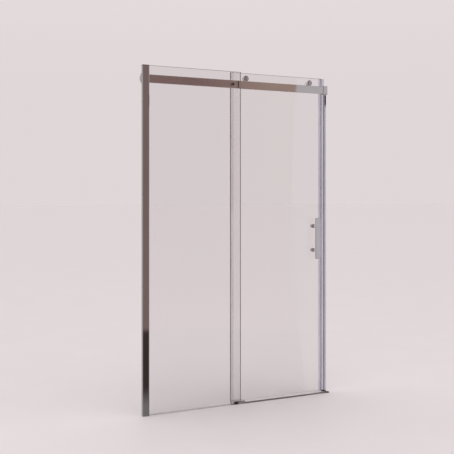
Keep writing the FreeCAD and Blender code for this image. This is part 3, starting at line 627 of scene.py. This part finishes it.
class SHOWERDOOR_OT_upright_seals(bpy.types.Operator):
    """Clear seals on both sides of the sliding pane and the soft strip that it closes on"""

    bl_idname = "shower_door.upright_seals"
    bl_label = "Upright Seals"

    def execute(self, context):
        self.overlap_seal()
        self.closing_seal()
        self.strike_strip()
        return {"FINISHED"}

    def overlap_seal(self):
        """Clip on the glass edge with a bent lip that reaches towards the fixed pane."""
        low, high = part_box("door_overlap_seal")
        pane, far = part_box("door_glass")
        leg = high.y - far.y
        front, end, slope, heel = pane.y - leg, SHOULDER * leg, high.x - TAPER, low.x + 0.3 * MM
        outline = rounded([
            (high.x, far.y + SKIN), (high.x, far.y + end), (slope, high.y), (heel, high.y),
            (heel, front + 0.8 * MM), (low.x, front - 1.2 * MM), (low.x + 0.5 * MM, low.y),
            (low.x + 1.0 * MM, low.y), (low.x + 0.9 * MM, front - 0.8 * MM), (pane.x + 0.8 * MM, front),
            (slope, front), (high.x, pane.y - end), (high.x, pane.y - SKIN),
            (pane.x - SKIN, pane.y - SKIN), (pane.x - SKIN, far.y + SKIN),
        ], mm(0.2, 0.5, 2, 0.8, 1, 1, 0.3, 0.3, 1, 0.6, 2, 0.5, 0.2, 0.1, 0.1))
        free = np.clip((front - outline[:, 1]) / (front - low.y), 0, 1) * looks().soft.sway
        made = strip(outline, Z, (low.z, high.z), sway=(X, free), stations=120)
        piece("overlap_seal", [made], "door", "clear_upright", ["door_overlap_seal"])

    def closing_seal(self):
        """Clip on the glass edge with a hollow bulb that meets the strike strip, and a stub under the bulb
        that its finish colours near black as painted contact shadow.
        """
        low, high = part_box("door_closing_seal")
        pane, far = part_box("door_glass")
        leg = high.y - far.y
        end, slope, web = SHOULDER * leg, low.x + TAPER, far.x + 1.5 * MM
        clip = rounded([
            (low.x, pane.y - SKIN), (low.x, pane.y - end), (slope, low.y), (web, low.y), (web, high.y),
            (slope, high.y), (low.x, far.y + end), (low.x, far.y + SKIN),
            (far.x + SKIN, far.y + SKIN), (far.x + SKIN, pane.y - SKIN),
        ], mm(0.2, 0.5, 2, 0.4, 0.4, 2, 0.5, 0.2, 0.1, 0.1))
        middle = (low.y + high.y) / 2
        half, wall, flank, tip = 5 * MM, 1.3 * MM, 5 * MM, 0.35

        def bulb(inset):
            base, nose, wide = web + SKIN + inset, high.x - inset, half - inset
            return rounded([
                (base, middle - wide), (nose - flank, middle - wide), (nose, middle - tip * wide),
                (nose, middle + tip * wide), (nose - flank, middle + wide), (base, middle + wide),
            ], mm(0.8, 3.5, 1.8, 1.8, 3.5, 0.8), steps=8)

        span = (low.z, high.z)
        # Stub under the bulb, near black in its finish: painted contact shadow under the seal.
        plug = strip(bulb(0), Z, (low.z - looks().soft.foot, low.z - 2 * SKIN))
        parts = [strip(clip, Z, span), pipe(bulb(0), bulb(wall), Z, span), plug]
        piece("closing_seal", parts, "door", "closing_upright", ["door_closing_seal"])

    def strike_strip(self):
        """Soft strip with a shallow channel that takes the bulb."""
        low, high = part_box("strike_seal")
        middle, half = (low.y + high.y) / 2, (high.y - low.y) / 2
        lip, channel = 0.85 * half, 0.6 * half
        flat = 0.7 * channel
        bank, brink, bed = low.x + 0.8 * MM, low.x + 0.2 * MM, low.x + 1.8 * MM
        outline = rounded([
            (high.x, low.y), (bank, low.y), (low.x, middle - lip), (brink, middle - channel),
            (bed, middle - flat), (bed, middle + flat), (brink, middle + channel),
            (low.x, middle + lip), (bank, high.y), (high.x, high.y),
        ], 0.7 * MM)
        made = strip(outline, Z, (low.z, high.z))
        piece("strike_strip", [made], "frame", "strike_grey", ["strike_seal"])


class SHOWERDOOR_OT_glazing_gaskets(bpy.types.Operator):
    """Ribbed gaskets that wedge the fixed pane in its profile"""

    bl_idname = "shower_door.glazing_gaskets"
    bl_label = "Glazing Gaskets"

    def execute(self, context):
        pane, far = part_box("fixed_glass")
        margin, count, cut = 4 * MM, 4, 0.8 * MM
        for name, node, glass_y, sign in (("front_gasket", "front_glazing_gasket", pane.y, -1),
                                          ("rear_gasket", "rear_glazing_gasket", far.y, 1)):
            low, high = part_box(node)
            metal_y = low.y if sign < 0 else high.y
            near, bed, back = glass_y + sign * SKIN, glass_y + sign * cut, metal_y - sign * SKIN
            foot = [(low.x, back), (high.x - 1.2 * MM, back), (high.x, back - sign * 1.3 * MM),
                    (high.x, near + sign * 0.9 * MM), (high.x - 0.7 * MM, near)]
            groove = ((0, near), (0.6 * MM, bed), (2.4 * MM, bed), (3 * MM, near))
            ribs = [(x - shift, y) for x in np.linspace(high.x - margin, low.x + margin, count)
                    for shift, y in groove]
            outline = rounded(foot + ribs + [(low.x, near)], 0.4 * MM, steps=4)
            made = strip(outline, Z, (low.z, high.z))
            piece(name, [made], "frame", "gasket_grey", [node])
        return {"FINISHED"}


class SHOWERDOOR_OT_floor_strips(bpy.types.Operator):
    """Clear strips under both panes"""

    bl_idname = "shower_door.floor_strips"
    bl_label = "Floor Strips"

    def execute(self, context):
        self.sliding_fin()
        self.fixed_strip()
        return {"FINISHED"}

    def sliding_fin(self):
        """Flange under the sliding pane with a tapered fin that wanders a little along its length."""
        low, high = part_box("door_bottom_seal")
        middle = (low.y + high.y) / 2
        top, under = high.z - SKIN, high.z - 1.4 * MM
        root, waist = 1.6 * MM, 1.0 * MM
        bend, neck = under - 0.4 * MM, under - 2 * MM
        outline = rounded([
            (low.y, top), (high.y, top), (high.y, under), (middle + root, bend), (middle + waist, neck),
            (middle + 0.5 * MM, low.z), (middle - 0.3 * MM, low.z), (middle - waist, neck),
            (middle - root, bend), (low.y, under),
        ], 0.5 * MM)
        free = np.clip((under - outline[:, 1]) / (under - low.z), 0, 1) * looks().soft.sway
        made = strip(outline, X, (low.x, high.x), sway=(Y, free), stations=60)
        piece("sliding_fin", [made], "door", "clear_level", ["door_bottom_seal"])

    def fixed_strip(self):
        """Strip under the fixed pane whose feet thin out on the floor."""
        low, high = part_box("fixed_glass_floor_seal")
        pane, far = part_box("fixed_glass")
        top, toe = high.z - SKIN, low.z + 0.5 * MM
        spread, instep, ankle = 0.9 * MM, low.z + 1.3 * MM, low.z + 2.6 * MM
        outline = rounded([
            (low.y, low.z), (low.y, toe), (pane.y - spread, instep), (pane.y, ankle), (pane.y, top),
            (far.y, top), (far.y, ankle), (far.y + spread, instep), (high.y, toe), (high.y, low.z),
        ], mm(0.1, 0.3, 1, 1, 0.3, 0.3, 1, 1, 0.3, 0.1))
        made = strip(outline, X, (low.x, high.x))
        piece("fixed_strip", [made], "frame", "floor_clear", ["fixed_glass_floor_seal"])


class SHOWERDOOR_OT_rollers(bpy.types.Operator):
    """Turned faces, cap nuts and washers of both rollers, with their wheels and bearings"""

    bl_idname = "shower_door.rollers"
    bl_label = "Rollers"

    def execute(self, context):
        for side in SIDES:
            self.face(side)
            self.cap_nut(side)
            self.washers(side)
            coat("nylon_pale", f"roller_wheel_{side}", f"roller_bush_{side}")
            coat("tool_steel", f"roller_axle_{side}", f"bearing_outer_{side}", f"bearing_inner_{side}",
                 f"bearing_balls_{side}")
        return {"FINISHED"}

    def face(self, side):
        """Front disc with a rounded rim, a ring groove and a shallow dimple at its middle."""
        node = f"roller_cover_{side}"
        low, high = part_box(node)
        rim, front, back = (high.x - low.x) / 2, low.y, low.y + 1.2 * MM
        ease, groove, spigot, bore = front + 0.15 * MM, front + 0.55 * MM, 10.95 * MM, 8 * MM
        profile = [
            (0, front + 0.5 * MM), (2.0 * MM, front + 0.45 * MM), (3.2 * MM, front + 0.1 * MM),
            (4.0 * MM, front), (rim - 5.6 * MM, front), (rim - 5.1 * MM, ease), (rim - 4.9 * MM, groove),
            (rim - 3.9 * MM, groove), (rim - 3.7 * MM, ease), (rim - 3.2 * MM, front),
            (rim - 1.0 * MM, front), (rim - 0.4 * MM, ease), (rim - 0.1 * MM, front + 0.5 * MM),
            (rim, front + 0.8 * MM), (rim, back), (spigot, back), (spigot, high.y), (bore, high.y),
            (bore, back), (0, back),
        ]
        turned_piece(f"roller_face_{side}", [(profile, centre_of(node))], f"{side}_roller", "lathe_chrome",
                     [node])

    def cap_nut(self, side):
        """Cap nut behind the glass with a rounded crown and a ring groove."""
        node = f"roller_cap_nut_{side}"
        low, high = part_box(node)
        rim, back, groove = (high.x - low.x) / 2, high.y, high.y - 0.5 * MM
        profile = [
            *bored_end(low.y, rim, bore=4.2 * MM, depth=5.2 * MM),
            (rim, back - 2.2 * MM), (rim - 0.2 * MM, back - 1.2 * MM), (rim - 0.8 * MM, back - 0.5 * MM),
            (rim - 1.8 * MM, back - 0.1 * MM), (rim - 2.8 * MM, back), (rim - 5.0 * MM, back),
            (rim - 5.3 * MM, groove), (rim - 6.1 * MM, groove), (rim - 6.4 * MM, back), (2 * MM, back),
            (0, back),
        ]
        turned_piece(f"roller_cap_{side}", [(profile, centre_of(node))], "door", "lathe_chrome",
                     [node])

    def washers(self, side):
        """Two soft washers, one on each face of the glass."""
        node = f"roller_gaskets_{side}"
        low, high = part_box(node)
        centre = centre_of(node)
        pane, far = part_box("door_glass")
        rim, bore = (high.x - low.x) / 2, 4.2 * MM
        profiles = [(washer(bore, rim, start, end), centre)
                    for start, end in ((low.y + SKIN, pane.y - SKIN), (far.y + SKIN, high.y - SKIN))]
        turned_piece(f"roller_washers_{side}", profiles, "door", "gasket_grey", [node])


class SHOWERDOOR_OT_handle(bpy.types.Operator):
    """Flat pull handle, its posts and the knobs behind the glass"""

    bl_idname = "shower_door.handle"
    bl_label = "Handle"

    def execute(self, context):
        coat("cast_chrome", "handle_plate")
        coat("post_silver", "handle_posts")
        coat("tool_steel", "handle_studs")
        coat("clear_level", "handle_sleeves")
        low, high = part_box("handle_knobs")
        rim = (high.x - low.x) / 2
        across = (low.x + high.x) / 2
        centres = [(across, low.z + rim), (across, high.z - rim)]
        self.knobs(low.y, high.y, rim, centres)
        self.washers(rim, centres)
        return {"FINISHED"}

    def knobs(self, base, end, rim, centres):
        """Round knobs with two grip grooves and a rounded end."""
        cut, bend = 0.4 * MM, 3 * MM
        groove = ((0, 0), (cut, 0.3 * MM), (cut, 1.0 * MM), (0, 1.3 * MM))
        profile = [
            *bored_end(base, rim, bore=3.2 * MM, depth=18 * MM),
            *((rim - inset, base + (start + run)) for start in mm(4, 7) for inset, run in groove),
            *arc((rim - bend, end - bend), bend, bend, np.linspace(0, 0.5 * np.pi, 7)),
            (rim - 6 * MM, end), (0, end),
        ]
        turned_piece("handle_grips", [(profile, centre) for centre in centres], "door", "lathe_chrome",
                     ["handle_knobs"])

    def washers(self, rim, centres):
        """Soft washers under the posts and the knobs."""
        low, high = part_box("handle_gaskets")
        pane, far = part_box("door_glass")
        bore, post = 3.2 * MM, 7 * MM
        profiles = [(washer(bore, post, low.y + SKIN, pane.y - SKIN), centre) for centre in centres]
        profiles += [(washer(bore, rim, far.y + SKIN, high.y - SKIN), centre) for centre in centres]
        turned_piece("handle_washers", profiles, "door", "clear_level", ["handle_gaskets"])


class SHOWERDOOR_OT_rail_fixings(bpy.types.Operator):
    """Screw that ties the fixed pane to the rail, its spacer, and the buffer that stops the open pane"""

    bl_idname = "shower_door.rail_fixings"
    bl_label = "Rail Fixings"

    def execute(self, context):
        self.screw()
        self.buffer_tip()
        coat("nylon_dark", "rail_glass_spacer")
        coat("clear_level", "rail_screw_washer", "rail_screw_sleeve")
        coat("tool_steel", "rail_screw_nut", "rail_socket_grub_screws")
        coat("cast_chrome", "door_buffer_arm")
        return {"FINISHED"}

    def screw(self):
        """Button screw: a domed head with a six-sided recess on a plain shank."""
        low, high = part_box("rail_glass_screw")
        head = (high.x - low.x) / 2
        front, seat = low.y, low.y + 3.5 * MM
        flat, brow, shank, tip = 2.0 * MM, 2.9 * MM, 3 * MM, 0.6 * MM
        profile = [
            (0, front + 2.2 * MM), (flat, front + 1.9 * MM), (flat, front + 0.1 * MM),
            *arc((brow, seat), head - brow, front - seat, np.linspace(0.15, 0.5 * np.pi, 8)[::-1]),
            (head, seat), (shank, seat), (shank, high.y - tip), (shank - tip, high.y), (0, high.y),
        ]
        facets = [0, 1, 1] + [0] * (len(profile) - 3)
        turned_piece("rail_screw", [(profile, centre_of("rail_glass_screw"))], "frame", "screw_chrome",
                     ["rail_glass_screw"], facets=facets)

    def buffer_tip(self):
        """Rubber tip with a collar groove and a domed nose, hollow for its plug."""
        low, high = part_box("door_buffer_tip")
        rim, dome = (high.y - low.y) / 2, 4 * MM
        collar = rim - 0.8 * MM
        profile = [
            *bored_end(low.x, rim, bore=3.2 * MM, depth=6.2 * MM),
            (rim, low.x + 3 * MM), (collar, low.x + 3.6 * MM), (collar, low.x + 5 * MM),
            (rim, low.x + 5.6 * MM),
            *arc((0, high.x - dome), rim, dome, np.linspace(0, 0.5 * np.pi, 9))[:-1], (0, high.x),
        ]
        turned_piece("buffer_nose", [(profile, centre_of("door_buffer_tip", X))], "frame", "buffer_black",
                     ["door_buffer_tip"], axis=X)


class SHOWERDOOR_OT_floor_guide(bpy.types.Operator):
    """Guide on the floor with its black clamp, grey lining and pale glides"""

    bl_idname = "shower_door.floor_guide"
    bl_label = "Floor Guide"

    def execute(self, context):
        coat("guide_chrome", "floor_guide")
        coat("nylon_pale", "floor_guide_liners")
        coat("tool_steel", "floor_guide_grub_screw")
        low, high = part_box("floor_guide_gasket")
        pane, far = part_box("fixed_glass")
        seat = pane.z - SKIN
        outline = rounded([
            (low.y + SKIN, low.z + SKIN), (high.y - SKIN, low.z + SKIN), (high.y - SKIN, high.z),
            (far.y + SKIN, high.z), (far.y + SKIN, seat), (pane.y - SKIN, seat), (pane.y - SKIN, high.z),
            (low.y + SKIN, high.z),
        ], mm(0.8, 0.8, 0.4, 0.4, 0.2, 0.2, 0.4, 0.4))
        made = strip(outline, X, (low.x, high.x))
        piece("guide_lining", [made], "frame", "gasket_grey", ["floor_guide_gasket"])
        return {"FINISHED"}


AIR = {  # from where to where one tone of the air gives way to the next, by a part of the direction
    "warm": (0.40, 0.52), "low": (-0.166, -0.158), "side": (0.5177, 0.5185), "flag_side": (0.5435, 0.5445),
    "flag_foot": (0.102, 0.11), "flag_top": (0.1192, 0.1197), "floor": (-0.25, -0.225),
    "under": (-0.42, -0.28), "up": (0.35, 0.75), "back": (0.1, 0.8), "overhead": (0.1, 0.8),
}


class SHOWERDOOR_OT_stage(bpy.types.Operator):
    """Pale floor, soft light and the camera"""

    bl_idname = "shower_door.stage"
    bl_label = "Stage"

    def execute(self, context):
        context.scene.view_settings.view_transform = "Standard"
        self.floor()
        self.air(context.scene)
        self.light()
        self.camera(context.scene)
        return {"FINISHED"}

    def floor(self):
        """Flat floor just under the door."""
        side, drop, count = 80.0, 0.3 * MM, 9
        least_haze, haze_swing = 0.5, 0.1
        line = np.linspace(-side, side, count)
        u, v = np.meshgrid(line, line)
        points = np.stack([u, v, np.full_like(u, -drop)], axis=-1).reshape(-1, 3)
        mesh = bpy.data.meshes.new("studio_floor")
        mesh.from_pydata(points.tolist(), [], quads(count, count, False, False).tolist())
        material, place, shader = new_finish("floor_pale", {"Specular IOR Level": 0.25})
        grain = place.noise(3.0, 5.0)
        (grain * haze_swing + least_haze).into(shader, "Roughness")
        grain.mottle(looks().stage.floor, 0.985).into(shader, "Base Color")
        mesh.materials.append(material)
        ground = bpy.data.objects.new("studio_floor", mesh)
        ground.visible_glossy = False
        bpy.context.scene.collection.objects.link(ground)

    def air(self, scene):
        """Even pale backdrop, brighter overhead. What chrome mirrors is dimmer and goes by direction."""
        stage = looks().stage
        scene.world = bpy.data.worlds.new("studio_air")
        scene.world.use_nodes = True
        tree = scene.world.node_tree
        tree.nodes.clear()
        start = Signal(tree)
        way = start.node("ShaderNodeTexCoord", output="Generated")
        x, y, z = way.axes()
        mirrored = x.ramp(*AIR["warm"]).blend(stage.front_tone, stage.warm_tone)
        mirrored = z.ramp(*AIR["low"]).blend(stage.low_tone, mirrored)
        mirrored = x.ramp(*AIR["side"]).blend(mirrored, stage.side_tone)
        flag = x.ramp(*AIR["flag_side"]) * z.ramp(*AIR["flag_foot"]) * (1 - z.ramp(*AIR["flag_top"]))
        mirrored = flag.blend(mirrored, dim(stage.low_tone, 0.25))
        mirrored = z.ramp(*AIR["floor"]).blend(stage.floor_tone, mirrored)
        mirrored = z.ramp(*AIR["under"]).blend(stage.under_tone, mirrored)
        mirrored = z.ramp(*AIR["up"]).blend(mirrored, stage.up_tone)
        mirrored = y.ramp(*AIR["back"]).blend(mirrored, stage.back_tone)
        seen = z.ramp(*AIR["overhead"]).blend(stage.backdrop, stage.overhead)
        depth = start.node("ShaderNodeLightPath", output="Glossy Depth")
        matt = start.node("ShaderNodeLightPath", output="Diffuse Depth")
        in_chrome = depth.least(1.0) * (1 - matt.least(1.0))
        light = start.node("ShaderNodeBackground", values={"Color": in_chrome.blend(seen, mirrored)})
        start.node("ShaderNodeOutputWorld", values={"Surface": light})

    def light(self):
        """Large soft light above."""
        lamp = bpy.data.lights.new("top_light", "AREA")
        lamp.shape = "RECTANGLE"
        lamp.size, lamp.size_y = 3.4, 3.0
        lamp.energy = looks().stage.top_light
        item = bpy.data.objects.new("top_light", lamp)
        item.location, item.rotation_euler = (0.3, -0.9, 3.6), (math.radians(14), 0, 0)
        item.visible_camera = item.visible_glossy = False
        bpy.context.scene.collection.objects.link(item)

    def camera(self, scene):
        """Level camera to the left of the door, with the lens shifted to keep uprights parallel."""
        stage = looks().stage
        lens = bpy.data.cameras.new("camera")
        lens.sensor_width = 36
        lens.lens = stage.camera_lens
        lens.shift_y = stage.camera_drop
        item = bpy.data.objects.new("camera", lens)
        item.location = stage.camera_place
        item.rotation_euler = (math.radians(90), 0, -stage.camera_turn)
        scene.collection.objects.link(item)
        scene.camera = item


OPERATORS = (
    SHOWERDOOR_OT_profiles, SHOWERDOOR_OT_panes, SHOWERDOOR_OT_upright_seals,
    SHOWERDOOR_OT_glazing_gaskets, SHOWERDOOR_OT_floor_strips, SHOWERDOOR_OT_rollers,
    SHOWERDOOR_OT_handle, SHOWERDOOR_OT_rail_fixings, SHOWERDOOR_OT_floor_guide, SHOWERDOOR_OT_stage,
)


class SHOWERDOOR_PT_panel(bpy.types.Panel):
    """Steps and settings of the door"""

    bl_idname = "SHOWERDOOR_PT_panel"
    bl_label = "Sliding Shower Door"
    bl_space_type = "VIEW_3D"
    bl_region_type = "UI"
    bl_category = "Shower Door"

    def draw(self, context):
        settings = context.scene.shower_door
        for group in (settings.metal, settings.glass, settings.soft, settings.stage):
            box = self.layout.box()
            for name in group.__annotations__:
                box.prop(group, name)
        self.layout.prop(settings, "turn_steps")
        for operator in OPERATORS:
            self.layout.operator(operator.bl_idname)


CLASSES = (MetalLooks, GlassLooks, SoftLooks, StageLooks, DoorLooks, *OPERATORS, SHOWERDOOR_PT_panel)


def register():
    """Add the classes and the scene's settings."""
    for item in CLASSES:
        bpy.utils.register_class(item)
    bpy.types.Scene.shower_door = PointerProperty(type=DoorLooks)


def unregister():
    """Remove the scene's settings and the classes."""
    del bpy.types.Scene.shower_door
    for item in reversed(CLASSES):
        bpy.utils.unregister_class(item)


def main():
    """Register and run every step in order."""
    register()
    for operator in OPERATORS:
        group, step = operator.bl_idname.split(".")
        getattr(getattr(bpy.ops, group), step)()
    made = set(FINISHES.values())
    bare = [node for node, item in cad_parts.items()
            if not item.hide_render and not made.intersection(item.data.materials)]
    if bare:
        raise RuntimeError(f"no finish on {bare}")


if __name__ == "__main__":
    main()
